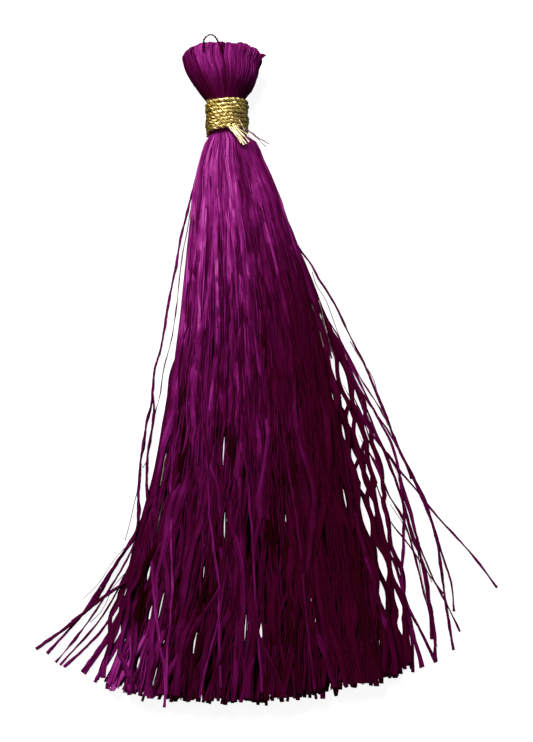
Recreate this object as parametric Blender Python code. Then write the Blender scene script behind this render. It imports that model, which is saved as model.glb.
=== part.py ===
"""A silk tassel lying on its back: a hank of silk with a looped head, and a gold thread wound on its neck.

The origin is on the resting surface, right under the middle of the binding. +Y runs along the
tassel to its head, so the skirt lies on the -Y side, and +Z is up. Sizes are in millimetres
until MM turns them into metres.
"""

import math
import random
from typing import NamedTuple

import bmesh
import bpy
from mathutils import Vector

MM = 0.001
SHARP_ANGLE = math.radians(60)

# Gold binding
TURNS = 8
TURN_PITCH = 0.5  # thickness of the gold thread
BINDING_OUTER = 5.15 / 2
BINDING_INNER = 4.1 / 2
BINDING_MIDDLE_Y = -0.325
BINDING_SLANT = 0.12  # how far the turns climb towards their right side
TURN_DEPTH = 0.12  # of the valleys between turns
BINDING_COLUMNS = 36
ROWS_PER_TURN = 3
AXIS_HEIGHT = 2.4  # of the neck above the resting surface

# Loose end of the gold thread, which comes out of the binding's lower rim
TAIL_FROM = math.radians(60)
TAIL_TO = math.radians(80)
TAIL_WIDTH = 1.0
TAIL_THICKNESS = 0.26
TAIL_RUN = Vector((0.62, -0.78, 0.0))  # the way it points, seen from above

# Thread loop at the top of the head
LOOP_THREAD = 0.27

# Silk hank
CLEARANCE = 0.3
LAYERS = 8
COLUMNS = 25
ROOT_GAP = 0.05  # between neighbouring strands where they part
ROOT_ROUNDING = 0.36  # 0 makes the bundle square where they part, and 0.5 makes it oval
STRAND_FILL = 0.70  # share of a layer's height that its strands take
TOP_LAYER_SHARE = 0.68  # width of the top layer beside the bottom one
STRAY_WIDTH = 0.34
HEM_MIDDLE_Y = -70.0
HEM_CURVE = 2.5  # how much shorter the strands at both corners are
HEM_LEAN = 0.8  # half of how much further up the right corner is than the left
HEM_UNEVEN = 1.2
WIDEST_SHARE = 0.78  # of a strand in the space that its layer has for it
JITTER = 0.8  # share of the free space between strands that their unevenness takes
LOOP_UNEVEN = 0.22  # how far single loops stand out of the head
SEED = 7


class Ring(NamedTuple):
    """One section of the hank between the skirt's roots and the top of the head."""

    y: float
    left: float
    right: float
    half_height: float
    middle_z: float
    evenness: float  # from 0, threads spaced as their roots are, to 1, evenly round the ring
    ridge: float  # how far each thread stands out
    uneven: float  # share of LOOP_UNEVEN


class Station(NamedTuple):
    """One section of the skirt, between its outermost ordinary strands."""

    y: float
    left: float
    right: float
    depth: float  # height of the pile of strands
    width: float  # of one strand


class Stray(NamedTuple):
    """A strand that leaves the skirt's edge: x at its stations, then its own bend and tip."""

    layer: int
    x_upper: float
    x_middle: float
    x_lower: float
    bend: tuple  # x, y
    tip: tuple  # x, y, and z of its underside


class Section(NamedTuple):
    """Where a strand passes: the middle of its underside, and its size."""

    x: float
    y: float
    z: float
    width: float
    height: float


class TailStep(NamedTuple):
    """The middle of the loose gold end."""

    x: float
    y: float
    z: float


NECK = BINDING_INNER - CLEARANCE
BINDING_TOP = BINDING_MIDDLE_Y + TURNS * TURN_PITCH / 2
BINDING_BOTTOM = BINDING_MIDDLE_Y - TURNS * TURN_PITCH / 2
NECK_TOP = BINDING_TOP + BINDING_SLANT + CLEARANCE
NECK_BOTTOM = BINDING_BOTTOM - BINDING_SLANT - CLEARANCE

RINGS = (
    Ring(-5.0, -2.9, 4.2, 1.9, AXIS_HEIGHT, 0.0, 0.0, 0.0),
    Ring(-4.0, -2.55, 3.75, 1.95, AXIS_HEIGHT, 0.4, 0.12, 0.0),
    Ring(NECK_BOTTOM - 0.4, -2.25, 3.1, 1.95, AXIS_HEIGHT, 0.8, 0.08, 0.0),
    Ring(NECK_BOTTOM, -NECK, NECK, NECK, AXIS_HEIGHT, 1.0, 0.0, 0.0),
    Ring(NECK_TOP, -NECK, NECK, NECK, AXIS_HEIGHT, 1.0, 0.0, 0.0),
    Ring(NECK_TOP + 0.35, -2.45, 2.25, 2.3, AXIS_HEIGHT, 1.0, 0.08, 0.0),
    Ring(3.9, -3.45, 2.9, 2.75, 2.6, 1.0, 0.2, 0.2),
    Ring(5.5, -4.35, 3.65, 3.0, 2.85, 1.0, 0.26, 0.5),
    Ring(7.0, -5.0, 4.0, 3.15, 3.0, 1.0, 0.3, 0.8),
    Ring(8.0, -5.25, 4.5, 3.2, 3.1, 1.0, 0.34, 1.0),
    Ring(8.5, -4.5, 3.75, 2.7, 3.1, 1.0, 0.3, 1.0),
    Ring(8.2, -3.0, 2.3, 1.7, 3.1, 1.0, 0.2, 0.0),
)

SKIRT = (
    Station(-9.0, -3.6, 5.3, 4.0, 0.30),
    Station(-18.0, -4.6, 8.6, 3.8, 0.38),
    Station(-33.0, -6.1, 13.4, 3.5, 0.46),
    Station(-50.0, -9.2, 18.3, 3.2, 0.52),
    Station(-68.5, -14.2, 21.8, 2.9, 0.55),
)

LEFT_STRAYS = (
    Stray(0, -6.0, -8.4, -10.8, (-15.4, -58.0), (-20.9, -64.8, 0.0)),
    Stray(0, -5.1, -6.7, -9.8, (-12.5, -58.0), (-17.5, -66.7, 0.0)),
    Stray(1, -5.9, -8.0, -10.3, (-14.1, -58.0), (-19.5, -65.4, 0.0)),
    Stray(1, -5.1, -6.8, -9.8, (-13.4, -58.0), (-18.5, -66.4, 0.0)),
    Stray(2, -5.0, -6.5, -9.8, (-11.8, -58.0), (-15.5, -67.4, 0.0)),
    Stray(3, -5.0, -6.4, -9.6, (-12.4, -58.0), (-16.8, -61.5, 1.1)),
)

RIGHT_STRAYS = (
    Stray(0, 9.5, 16.4, 24.6, (28.3, -54.5), (30.7, -57.7, 0.0)),
    Stray(1, 9.1, 13.9, 19.1, (20.5, -58.0), (22.3, -65.9, 0.4)),
    Stray(1, 10.2, 16.9, 23.1, (25.0, -55.7), (26.3, -62.6, 0.0)),
    Stray(2, 9.0, 14.1, 19.7, (20.5, -58.0), (22.9, -66.6, 0.8)),
    Stray(2, 9.5, 15.4, 21.1, (23.6, -56.8), (25.5, -64.7, 0.0)),
    Stray(3, 9.3, 14.9, 21.0, (22.2, -58.0), (23.1, -63.7, 0.0)),
    Stray(4, 9.2, 14.2, 20.3, (22.6, -58.0), (24.2, -65.4, 0.5)),
    Stray(5, 9.1, 14.6, 20.1, (20.2, -58.0), (21.5, -65.9, 1.8)),
)

TAIL = (
    TailStep(1.05, -2.95, 4.92),
    TailStep(1.55, -3.7, 4.98),
    TailStep(2.1, -4.5, 4.85),
)

LOOP_ROUTE = (
    (-2.75, 8.0, 6.4),
    (-2.72, 9.2, 6.15),
    (-2.35, 9.75, 5.95),
    (-1.85, 9.8, 5.95),
    (-1.35, 9.3, 6.3),
    (-0.95, 8.7, 6.6),
    (-0.65, 8.0, 6.75),
)


def clear_scene():
    for item in list(bpy.data.objects):
        bpy.data.objects.remove(item, do_unlink=True)


def material(name, colour, roughness, metallic=0.0):
    made = bpy.data.materials.new(name)
    made.use_nodes = True
    shader = made.node_tree.nodes["Principled BSDF"]
    shader.inputs["Base Color"].default_value = (*colour, 1.0)
    shader.inputs["Roughness"].default_value = roughness
    shader.inputs["Metallic"].default_value = metallic
    return made


def piece(name, bm, look):
    """The closed mesh in millimetres as an object in metres."""
    bmesh.ops.recalc_face_normals(bm, faces=bm.faces)
    bmesh.ops.scale(bm, vec=(MM, MM, MM), verts=bm.verts)
    mesh = bpy.data.meshes.new(name)
    bm.to_mesh(mesh)
    bm.free()
    mesh.shade_smooth()
    mesh.set_sharp_from_angle(angle=SHARP_ANGLE)
    mesh.materials.append(look)
    made = bpy.data.objects.new(name, mesh)
    bpy.context.collection.objects.link(made)
    return made


def resting(point):
    """The point, raised to the resting surface where it lies below it."""
    return Vector((point[0], point[1], max(point[2], 0.0)))


def extruded_ring(bm, ring):
    """Extrudes a closed ring of points, and returns the new ones in the same order."""
    edges = [bm.edges.get(pair) for pair in zip(ring, ring[1:] + ring[:1])]
    made = bmesh.ops.extrude_edge_only(bm, edges=edges)["geom"]
    at = {v.co.to_tuple(): v for v in made if isinstance(v, bmesh.types.BMVert)}
    return [at[v.co.to_tuple()] for v in ring]


# The hank's head and neck


def root_grid(bm):
    """The cells where the strands part, a grid of LAYERS by COLUMNS that fills the first ring."""
    ring = RINGS[0]
    middle_x = (ring.left + ring.right) / 2
    half_width = (ring.right - ring.left) / 2
    grid = []
    for layer in range(LAYERS + 1):
        v = 2 * layer / LAYERS - 1
        row = []
        for column in range(COLUMNS + 1):
            u = 2 * column / COLUMNS - 1
            x = middle_x + half_width * u * math.sqrt(1 - ROOT_ROUNDING * v * v)
            z = ring.middle_z + ring.half_height * v * math.sqrt(1 - ROOT_ROUNDING * u * u)
            row.append(bm.verts.new((x, ring.y, z)))
        grid.append(row)
    cells = []
    for low, high in zip(grid, grid[1:]):
        corners = zip(low, low[1:], high[1:], high)
        cells.append([bm.faces.new(four) for four in corners])
    right = [row[-1] for row in grid[1:-1]]
    left = [row[0] for row in grid[1:-1]]
    outline = grid[0] + right + grid[-1][::-1] + left[::-1]
    return cells, outline


def ring_angles(outline, round_share):
    """Angles of the outline's points about its middle, evened out by round_share."""
    ring = RINGS[0]
    middle_x = (ring.left + ring.right) / 2
    half_width = (ring.right - ring.left) / 2
    start = math.radians(-135)  # the grid's first corner, at its lower left
    angles = []
    for place, point in enumerate(outline):
        across = (point.co.x - middle_x) / half_width
        up = (point.co.z - ring.middle_z) / ring.half_height
        own = (math.atan2(up, across) - start) % math.tau
        if place == 0:
            own = 0.0
        even = math.tau * place / len(outline)
        angles.append(start + own + (even - own) * round_share)
    return angles


def head_and_neck(bm, outline, chance):
    """Draws the roots' outline out through the binding and over the head, thread by thread."""
    threads = [chance.uniform(-1.0, 1.0) for _ in outline]
    roots = list(outline)
    for ring in RINGS[1:]:
        angles = ring_angles(roots, ring.evenness)
        outline = extruded_ring(bm, outline)
        middle_x = (ring.left + ring.right) / 2
        half_width = (ring.right - ring.left) / 2
        for count, (point, angle, thread) in enumerate(zip(outline, angles, threads)):
            out = (ring.ridge if count % 2 else -ring.ridge) / 2
            loose = LOOP_UNEVEN * ring.uneven * thread
            point.co = resting((
                middle_x + (half_width + out + loose) * math.cos(angle),
                ring.y + loose,
                ring.middle_z + (ring.half_height + out + loose / 2) * math.sin(angle),
            ))
    edges = [bm.edges.get(pair) for pair in zip(outline, outline[1:] + outline[:1])]
    lid = bmesh.ops.contextual_create(bm, geom=edges)["faces"]
    bmesh.ops.poke(bm, faces=lid)


# The hank's strands


def layer_edges(station, layer):
    """Left and right ends of a layer of ordinary strands, narrower towards the top."""
    middle = (station.left + station.right) / 2
    share = 1 - (1 - TOP_LAYER_SHARE) * (layer / (LAYERS - 1)) ** 2
    half = (station.right - station.left) / 2 * share
    return middle - half, middle + half


def strand_section(station, layer, x, widest):
    step = station.depth / LAYERS
    width = min(station.width, widest)
    return Section(x, station.y, layer * step, width, STRAND_FILL * step)


def between(first, second, y):
    """The section at y on the straight line through two sections."""
    share = (y - first.y) / (second.y - first.y)
    return Section(*(a + (b - a) * share for a, b in zip(first, second)))


def hem_y(across):
    """Where the hem is, for a place from -1 at its left corner to 1 at its right one."""
    return HEM_MIDDLE_Y + HEM_CURVE * across * across + HEM_LEAN * across


def ordinary_route(layer, place, count, chance):
    """Sections of one strand, the place-th of count in its layer."""
    share = place / (count - 1)
    sections = []
    for station in SKIRT:
        left, right = layer_edges(station, layer)
        space = (right - left) / (count - 1)
        free = max(space - station.width, (1 - WIDEST_SHARE) * space)
        x = left + (right - left) * share + free * JITTER * chance.uniform(-0.5, 0.5)
        sections.append(strand_section(station, layer, x, WIDEST_SHARE * space))
    middle = (SKIRT[-1].left + SKIRT[-1].right) / 2
    across = (sections[-1].x - middle) / (SKIRT[-1].right - middle)
    end = hem_y(across) + HEM_UNEVEN * chance.uniform(-1.0, 1.0)
    return sections[:-1] + [between(sections[-2], sections[-1], end)]


def stray_route(stray, first_x):
    """Sections of one stray strand, which starts beside its layer's ordinary ones."""
    xs = (first_x, stray.x_upper, stray.x_middle, stray.x_lower)
    sections = [
        strand_section(station, stray.layer, x, STRAY_WIDTH)
        for station, x in zip(SKIRT, xs)
    ]
    last = sections[-1]
    bend_x, bend_y = stray.bend
    tip_x, tip_y, tip_z = stray.tip
    return sections + [
        last._replace(x=bend_x, y=bend_y),
        last._replace(x=tip_x, y=tip_y, z=tip_z),
    ]


def layer_routes(layer, chance):
    """Routes of all strands of a layer, from left to right."""
    left_strays = [stray for stray in LEFT_STRAYS if stray.layer == layer]
    right_strays = [stray for stray in RIGHT_STRAYS if stray.layer == layer]
    ordinary = COLUMNS - len(left_strays) - len(right_strays)
    left, right = layer_edges(SKIRT[0], layer)
    step = (right - left) / (COLUMNS - 1)
    routes = []
    for place, stray in enumerate(sorted(left_strays, key=lambda s: s.x_upper)):
        routes.append(stray_route(stray, left + step * (place - len(left_strays))))
    for place in range(ordinary):
        routes.append(ordinary_route(layer, place, ordinary, chance))
    for place, stray in enumerate(sorted(right_strays, key=lambda s: s.x_upper)):
        routes.append(stray_route(stray, right + step * (place + 1)))
    return routes


def draw_strand(bm, cell, route):
    """Extrudes a root cell through the sections of its route."""
    for section in route:
        cell = bmesh.ops.extrude_discrete_faces(bm, faces=[cell])["faces"][0]
        left, right = section.x - section.width / 2, section.x + section.width / 2
        low, high = section.z, section.z + section.height
        corners = ((left, low), (right, low), (right, high), (left, high))
        for loop, (x, z) in zip(cell.loops, corners):
            loop.vert.co = (x, section.y, z)


def silk_hank(look):
    chance = random.Random(SEED)
    bm = bmesh.new()
    cells, outline = root_grid(bm)
    head_and_neck(bm, outline, chance)
    flat = [cell for row in cells for cell in row]
    bmesh.ops.inset_individual(bm, faces=flat, thickness=ROOT_GAP / 2)
    for layer, row in enumerate(cells):
        for cell, route in zip(row, layer_routes(layer, chance)):
            draw_strand(bm, cell, route)
    return piece("silk_hank", bm, look)


# The binding


def binding_profile(bm):
    """The closed outline of the binding's wall, to the right of the neck's axis."""
    rows = TURNS * ROWS_PER_TURN
    step = TURN_PITCH / ROWS_PER_TURN
    outer = [(BINDING_OUTER, BINDING_BOTTOM + row * step) for row in range(rows + 1)]
    inner = [(BINDING_INNER, BINDING_TOP), (BINDING_INNER, BINDING_BOTTOM)]
    points = [bm.verts.new((x, y, 0.0)) for x, y in outer + inner]
    edges = [bm.edges.new(pair) for pair in zip(points, points[1:] + points[:1])]
    return points + edges


def wind(point):
    """Moves a point of the plain ring so that the ring shows its turns and lies on its seat."""
    x, y, z = point.co
    radius = math.hypot(x, z)
    angle = math.atan2(z, x)
    if radius > (BINDING_OUTER + BINDING_INNER) / 2:
        turn = (y - BINDING_BOTTOM) / TURN_PITCH - angle / math.tau
        radius -= TURN_DEPTH * (1 + math.cos(math.tau * turn)) / 2
    slanted = y + BINDING_SLANT * x / BINDING_OUTER
    height = AXIS_HEIGHT + radius * math.sin(angle)
    point.co = resting((radius * math.cos(angle), slanted, height))


def tail_start(bm):
    """The faces of the lower rim that the loose end comes out of."""
    row = TURN_PITCH / ROWS_PER_TURN
    found = []
    for face in bm.faces:
        middle = face.calc_center_median()
        angle = math.atan2(middle.z, middle.x)
        on_rim = middle.y < BINDING_BOTTOM + row / 4
        if on_rim and TAIL_FROM < angle < TAIL_TO:
            found.append(face)
    return found


def draw_tail(bm, faces):
    """Extrudes the rim's faces into the loose end, flat and as wide as three gold threads."""
    across = Vector((-TAIL_RUN.y, TAIL_RUN.x, 0.0))
    for step in TAIL:
        made = bmesh.ops.extrude_face_region(bm, geom=faces)["geom"]
        bmesh.ops.delete(bm, geom=faces, context="FACES_ONLY")
        faces = [item for item in made if isinstance(item, bmesh.types.BMFace)]
        points = [item for item in made if isinstance(item, bmesh.types.BMVert)]
        points.sort(key=lambda point: point.co.x * across.x + point.co.y * across.y)
        for place, pair in enumerate(zip(points[::2], points[1::2])):
            side = (place / (len(points) / 2 - 1) - 0.5) * TAIL_WIDTH
            low, high = sorted(pair, key=lambda point: point.co.z)
            middle = Vector(step) + across * side
            low.co = middle - Vector((0.0, 0.0, TAIL_THICKNESS / 2))
            high.co = middle + Vector((0.0, 0.0, TAIL_THICKNESS / 2))


def gold_binding(look):
    bm = bmesh.new()
    bmesh.ops.spin(
        bm,
        geom=binding_profile(bm),
        cent=(0.0, 0.0, 0.0),
        axis=(0.0, 1.0, 0.0),
        angle=math.tau,
        steps=BINDING_COLUMNS,
        use_merge=True,
    )
    start = tail_start(bm)
    for point in bm.verts:
        wind(point)
    draw_tail(bm, start)
    return piece("gold_binding", bm, look)


# The loop


def top_loop(look):
    curve = bpy.data.curves.new("top_loop", "CURVE")
    curve.dimensions = "3D"
    curve.bevel_depth = LOOP_THREAD / 2 * MM
    curve.bevel_resolution = 2
    curve.resolution_u = 4
    curve.use_fill_caps = True
    spline = curve.splines.new("NURBS")
    spline.points.add(len(LOOP_ROUTE) - 1)
    for point, place in zip(spline.points, LOOP_ROUTE):
        point.co = (*(Vector(place) * MM), 1.0)
    spline.order_u = 4
    spline.use_endpoint_u = True
    curve.materials.append(look)
    made = bpy.data.objects.new("top_loop", curve)
    bpy.context.collection.objects.link(made)
    return made


def main():
    clear_scene()
    silk = material("magenta silk", (0.16, 0.013, 0.105), roughness=0.45)
    gold = material("gold thread", (0.55, 0.38, 0.15), roughness=0.3, metallic=1.0)
    silk_hank(silk)
    gold_binding(gold)
    top_loop(silk)


main()
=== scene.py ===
"""The looks of a silk tassel that lies on its back on a pale floor.

The frame has its origin on the floor, right under the middle of the gold binding. +Y runs along
the tassel to its head and +Z is up. Routes and sizes are in millimetres, and MM turns them into
metres where a mesh or a curve is made.
"""

import math
from typing import NamedTuple

import bmesh
import bpy
import numpy as np
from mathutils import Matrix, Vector


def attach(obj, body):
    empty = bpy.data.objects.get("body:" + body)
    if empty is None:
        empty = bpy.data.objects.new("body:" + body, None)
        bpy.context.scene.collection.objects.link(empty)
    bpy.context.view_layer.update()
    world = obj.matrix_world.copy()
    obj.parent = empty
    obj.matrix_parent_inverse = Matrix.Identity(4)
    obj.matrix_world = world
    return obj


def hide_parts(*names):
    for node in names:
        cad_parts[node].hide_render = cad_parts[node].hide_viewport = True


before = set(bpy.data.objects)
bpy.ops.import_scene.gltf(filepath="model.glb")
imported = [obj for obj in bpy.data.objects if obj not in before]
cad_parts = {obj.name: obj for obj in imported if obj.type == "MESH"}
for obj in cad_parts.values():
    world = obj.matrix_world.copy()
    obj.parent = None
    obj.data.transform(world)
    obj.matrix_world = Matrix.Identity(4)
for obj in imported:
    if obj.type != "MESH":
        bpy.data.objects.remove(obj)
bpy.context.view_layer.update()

bl_info = {
    "name": "Silk Tassel",
    "version": (1, 0, 0),
    "blender": (4, 5, 0),
    "location": "View3D > Sidebar > Tassel",
    "description": "Lays a silk tassel thread by thread, with its gold binding, on a pale floor",
    "category": "Add Mesh",
}

MM = 0.001
TAU = 2 * math.pi
GOLDEN = 0.618034
BODY = "root"
SILK_SLOT = "silk"
GOLD_SLOT = "gold_thread"
SEED = 11

# Stage
SWEEP_RADIUS = 1.6  # metres, as the next two
SWEEP_BEND = 0.6
SWEEP_EDGE = SWEEP_RADIUS - SWEEP_BEND
SWEEP_STEPS = 10
SWEEP_SIDES = 48
FLOOR_GRAIN = 900.0  # grains in a metre
KEY_PLACE = Vector((-85.0, 110.0, 245.0))
KEY_AIM = Vector((3.0, -20.0, 0.0))
KEY_SIZE = 150.0
CAMERA_PLACE = Vector((4.812, -113.974, 226.391))
CAMERA_TARGET = Vector((4.81, -31.57, 0.0))
CAMERA_LENS = 100.0

# Neck and binding
AXIS_HEIGHT = 2.4  # of the neck above the floor
NECK = 1.75
BINDING_OUTER = 2.575
BINDING_MIDDLE_Y = -0.325
TURNS = 8
TURN_PITCH = 0.5
BINDING_SLANT = (0.4, 0.07)  # how far the first and the last turn climb to the right
BINDING_SAG = (0.3, 0.8)  # how far the front of the first and the last turn hangs
BINDING_BUMPS = 0.05  # how far the gold thread wanders in and out
BINDING_UNEVEN = 0.055  # and along the neck
PLY_OFFSET = 0.1  # of each foil strip from the middle of the gold thread
PLIES = (0.0, 0.5)  # where each of two plies starts, in turns round their thread
STEPS_PER_TURN = 120  # of the binding
GOLD_LOWEST = 0.27  # height of the gold thread's middle where the binding lies on the floor
FINE_STEP = 0.12  # along the small curled pieces
TAIL_LOWEST = 4.78  # least height of a foil strip's tip, but for chance
TAIL_TONE = 0.65

TAIL_STRIPS = (  # where each foil strip leaves the binding, its tip and its width
    (0.55, 1.80, -4.40, 0.22),
    (0.80, 2.12, -4.62, 0.26),
    (1.06, 2.42, -4.52, 0.20),
    (1.32, 2.74, -4.20, 0.22),
    (1.55, 3.00, -3.80, 0.12),
)
GOLD_RIM = (0.10, 0.045, 0.012)  # colour of a strip's folded edges
GOLD_RIM_SHARE = 0.85
GOLD_ROUGHNESS = (0.58, 0.44)  # of worn foil, and of bright
FLAKES = 1500.0  # dents in a metre of foil
CROSSING_WIDTH = 0.16
CROSSING_TWIST = 0.8  # turns a millimetre
CROSSING_END = ((1.55, -1.3, 4.75), (1.85, -1.9, 4.72), (2.15, -2.5, 4.5), (2.5, -3.0, 4.25))

# Every silk thread
THREAD_SIDES = 5
FINE_SIDES = 4  # of the finest threads
THREAD_FLATNESS = 0.7  # thickness of a thread beside its width
THREAD_REST = 0.45  # least height of a thread's middle on the floor, beside its width
STRAY_REST = 0.75  # and of a stray's, which is twisted
FLOOR_CLEARANCE = 0.02  # between the floor and the lowest thread
FIBRES_ACROSS, FIBRES_ALONG = 2.5, 0.35  # how close the fine fibres on a thread are
GLIMMER_ALONG = 0.33  # how often the painted glints and the shine come and go in a millimetre
GLIMMER_ACROSS = 97.0  # how much it changes from lane to lane

# Skirt
SKIRT_STEPS = 56  # pieces of one thread between the binding and the hem
SKIRT_START = -0.5  # under the binding
STEP_GROWTH = 1.08  # how much longer the pieces of a thread get on their way down
HEM_MIDDLE = 70.4
HEM_CURVE = 2.5  # how much shorter the locks at both corners are
HEM_LEAN = 0.8
HEM_RISE = 0.4  # how much longer the top layer is


class Layer(NamedTuple):
    """One layer of locks in the skirt's pile, from the floor up."""

    height: float  # share of the pile's height
    locks: int
    ribbons: int  # in a lock
    filaments: int  # side by side in a ribbon
    width: float  # of a filament
    spread: float  # half width of a lock beside its share of the skirt


LAYERS = (
    Layer(0.08, 15, 7, 1, 0.46, 1.3),
    Layer(0.36, 15, 6, 2, 0.38, 1.2),
    Layer(0.64, 16, 6, 3, 0.35, 1.1),
    Layer(0.93, 17, 5, 4, 0.35, 1.1),
)
LONER_SHARE = 0.17  # of the top layer's ribbons, which stray from their lock
SKIRT_FILL = 0.985  # of the skirt's width that the middles of its locks take
LOCK_UNEVEN = 0.35  # how far a lock is out of its even place, beside half a lock
LOCK_END = (0.1, 0.27)  # mean and spread of a lock's end beside the hem
LOCK_SIZES = (0.75, 1.25)  # beside its layer's spread
LOCK_POINT = 0.95  # how much shorter a lock's outer ribbons are
LOCK_ROUNDNESS = 0.7  # height of a lock's back beside its half width
RIBBON_END = 0.06  # how unevenly the ribbons of a lock end
RIBBON_ARCH = 1.0  # how fast a ribbon's sides fall from its middle
FILAMENT_GAP = 0.38  # from one filament of a ribbon to the next, beside their width
CUT_SHARE = 0.03  # of the filaments, which end one piece early
RIBBON_LANE, FILAMENT_LANE = 0.0024, 0.001  # how far neighbours' shine is apart
HEM_TIPS = 4.0  # length of the threads' ends that catch more light

EDGE_SHEETS = ((1, 7, 9.0), (-1, 5, 24.0))  # side, threads side by side, and where they start
EDGE_FILAMENTS = 3  # in a thread of an open edge
EDGE_FILAMENT_GAP = 0.15
EDGE_FILAMENT_WIDTH = 0.24
EDGE_STEP = 0.7
EDGE_ROOM = 0.27  # between a gap and such a thread

PILE_FLOOR = 0.1  # height of the skirt's lowest threads
PILE_RIM = 0.35  # height of the pile at its edges
PILE_LIMIT = 0.995  # share of the half width up to which its height is worked out

FLOSS_THREADS = 190
FLOSS_STEPS = 54
FLOSS_WIDTHS = (0.15, 0.21)
FLOSS_ROOM = 0.12  # between a gap and a thread of floss


class SkirtRow(NamedTuple):
    """One section across the skirt, where its threads lie close."""

    down: float  # from the middle of the binding towards the hem
    left: float
    right: float
    top: float


SKIRT = [SkirtRow(*row) for row in (
    (0, -1.7, 1.7, 4.1),
    (2.2, -1.75, 1.75, 4.15),
    (3.2, -2.4, 3.35, 4.3),
    (5.5, -3.3, 4.6, 4.3),
    (9, -3.95, 6.15, 4.1),
    (13, -4.35, 7.55, 3.95),
    (18, -4.85, 9.2, 3.8),
    (25, -5.4, 11.2, 3.65),
    (33, -6.3, 13, 3.5),
    (40, -7.1, 14.4, 3.35),
    (48, -8.5, 16, 3.2),
    (54, -9.5, 17.3, 3.1),
    (60, -10.8, 18.5, 3),
    (72, -14, 20.4, 2.9),
)]


class HeadRow(NamedTuple):
    """One oval section of the head, in the order in which a loop of thread passes through them."""

    y: float
    left: float
    right: float
    half_height: float
    middle_z: float
    loose: float  # from 0, bound tight, to 1, free at the rim


HEAD = [HeadRow(*row) for row in (
    (0.2, -1.75, 1.75, 1.75, 2.4, 0),
    (1.8, -1.8, 1.8, 1.8, 2.4, 0),
    (2.5, -2.4, 1.9, 2.25, 2.4, 0.1),
    (3.9, -3.5, 2.95, 2.75, 2.6, 0.3),
    (5.5, -4.55, 3.6, 3, 2.85, 0.5),
    (7, -5.2, 3.75, 3.15, 3, 0.8),
    (8, -5.35, 4.05, 3.2, 3.1, 1),
    (8.55, -4.85, 3.75, 2.95, 3.1, 1),
    (8.45, -4.2, 3.45, 2.45, 3.1, 1),
    (7.6, -3.4, 2.7, 1.95, 3.05, 0.8),
    (5, -2.2, 1.8, 1.4, 2.7, 0.4),
    (2, -1.2, 1.2, 1.2, 2.4, 0),
)]

HEAD_PIECES = (2, 1, 2, 2, 3, 4, 5, 4, 4, 4, 2)  # of a loop between one section and the next

HEAD_CORNER = (  # way of a few threads that stand out at the head's right corner
    (2.4, 3.6, 3.1), (3.1, 5.4, 3.3), (3.6, 6.7, 3.7), (4.15, 7.6, 4.0), (4.5, 8.0, 3.8),
    (4.3, 8.2, 3.4), (3.7, 7.7, 3.2),
)
CORNER_THREADS = 5
CORNER_WIDTH = 0.2
CORNER_TONE = 0.25

HEAD_RIM = 6  # above this, yarns rise unevenly
YARN_UNEVEN = 0.15  # how far a yarn is out of its even place, beside its share of the ring
YARN_RISE = 0.15  # how unevenly the yarns reach up at the rim
YARN_SPREAD = 0.025  # and outwards, beside the head's size
YARN_BEND = 0.05  # how far a yarn leans round the head, in radians
YARN_FILL = 1.15  # how wide a yarn is beside its share of the ring
HEAD_SWAY = 0.025  # of one filament
YARN_LANE = 0.003  # how far the shine of a yarn's filaments is apart
OUTER_YARNS = ((48, 1.0, 7, 0.2),)  # yarns, their ring's size, filaments in one, and their width
INNER_YARNS = ((40, 0.9, 3, 0.34), (24, 0.66, 2, 0.5))

LOOP_WAY = (  # of the small loop of thread at the top of the head
    (-2.8, 7.2, 6.15), (-2.8, 8.0, 6.3), (-2.75, 8.7, 6.2), (-2.45, 9.25, 6.1), (-1.95, 9.5, 6.1),
    (-1.5, 9.25, 6.2), (-1.2, 8.75, 6.35), (-1.0, 8.3, 6.5), (-0.7, 7.7, 6.6), (-0.5, 7.0, 6.45),
)
LOOP_PITCH = 1.1
LOOP_PLY = 0.18
LOOP_PLY_OFFSET = 0.06
LOOP_TONE = 0.05


class Stray(NamedTuple):
    """A thread that leaves the skirt's edge: its width, its height above the floor and its way."""

    width: float
    height: float
    way: tuple  # x, y of its points, from the skirt to its tip


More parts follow.
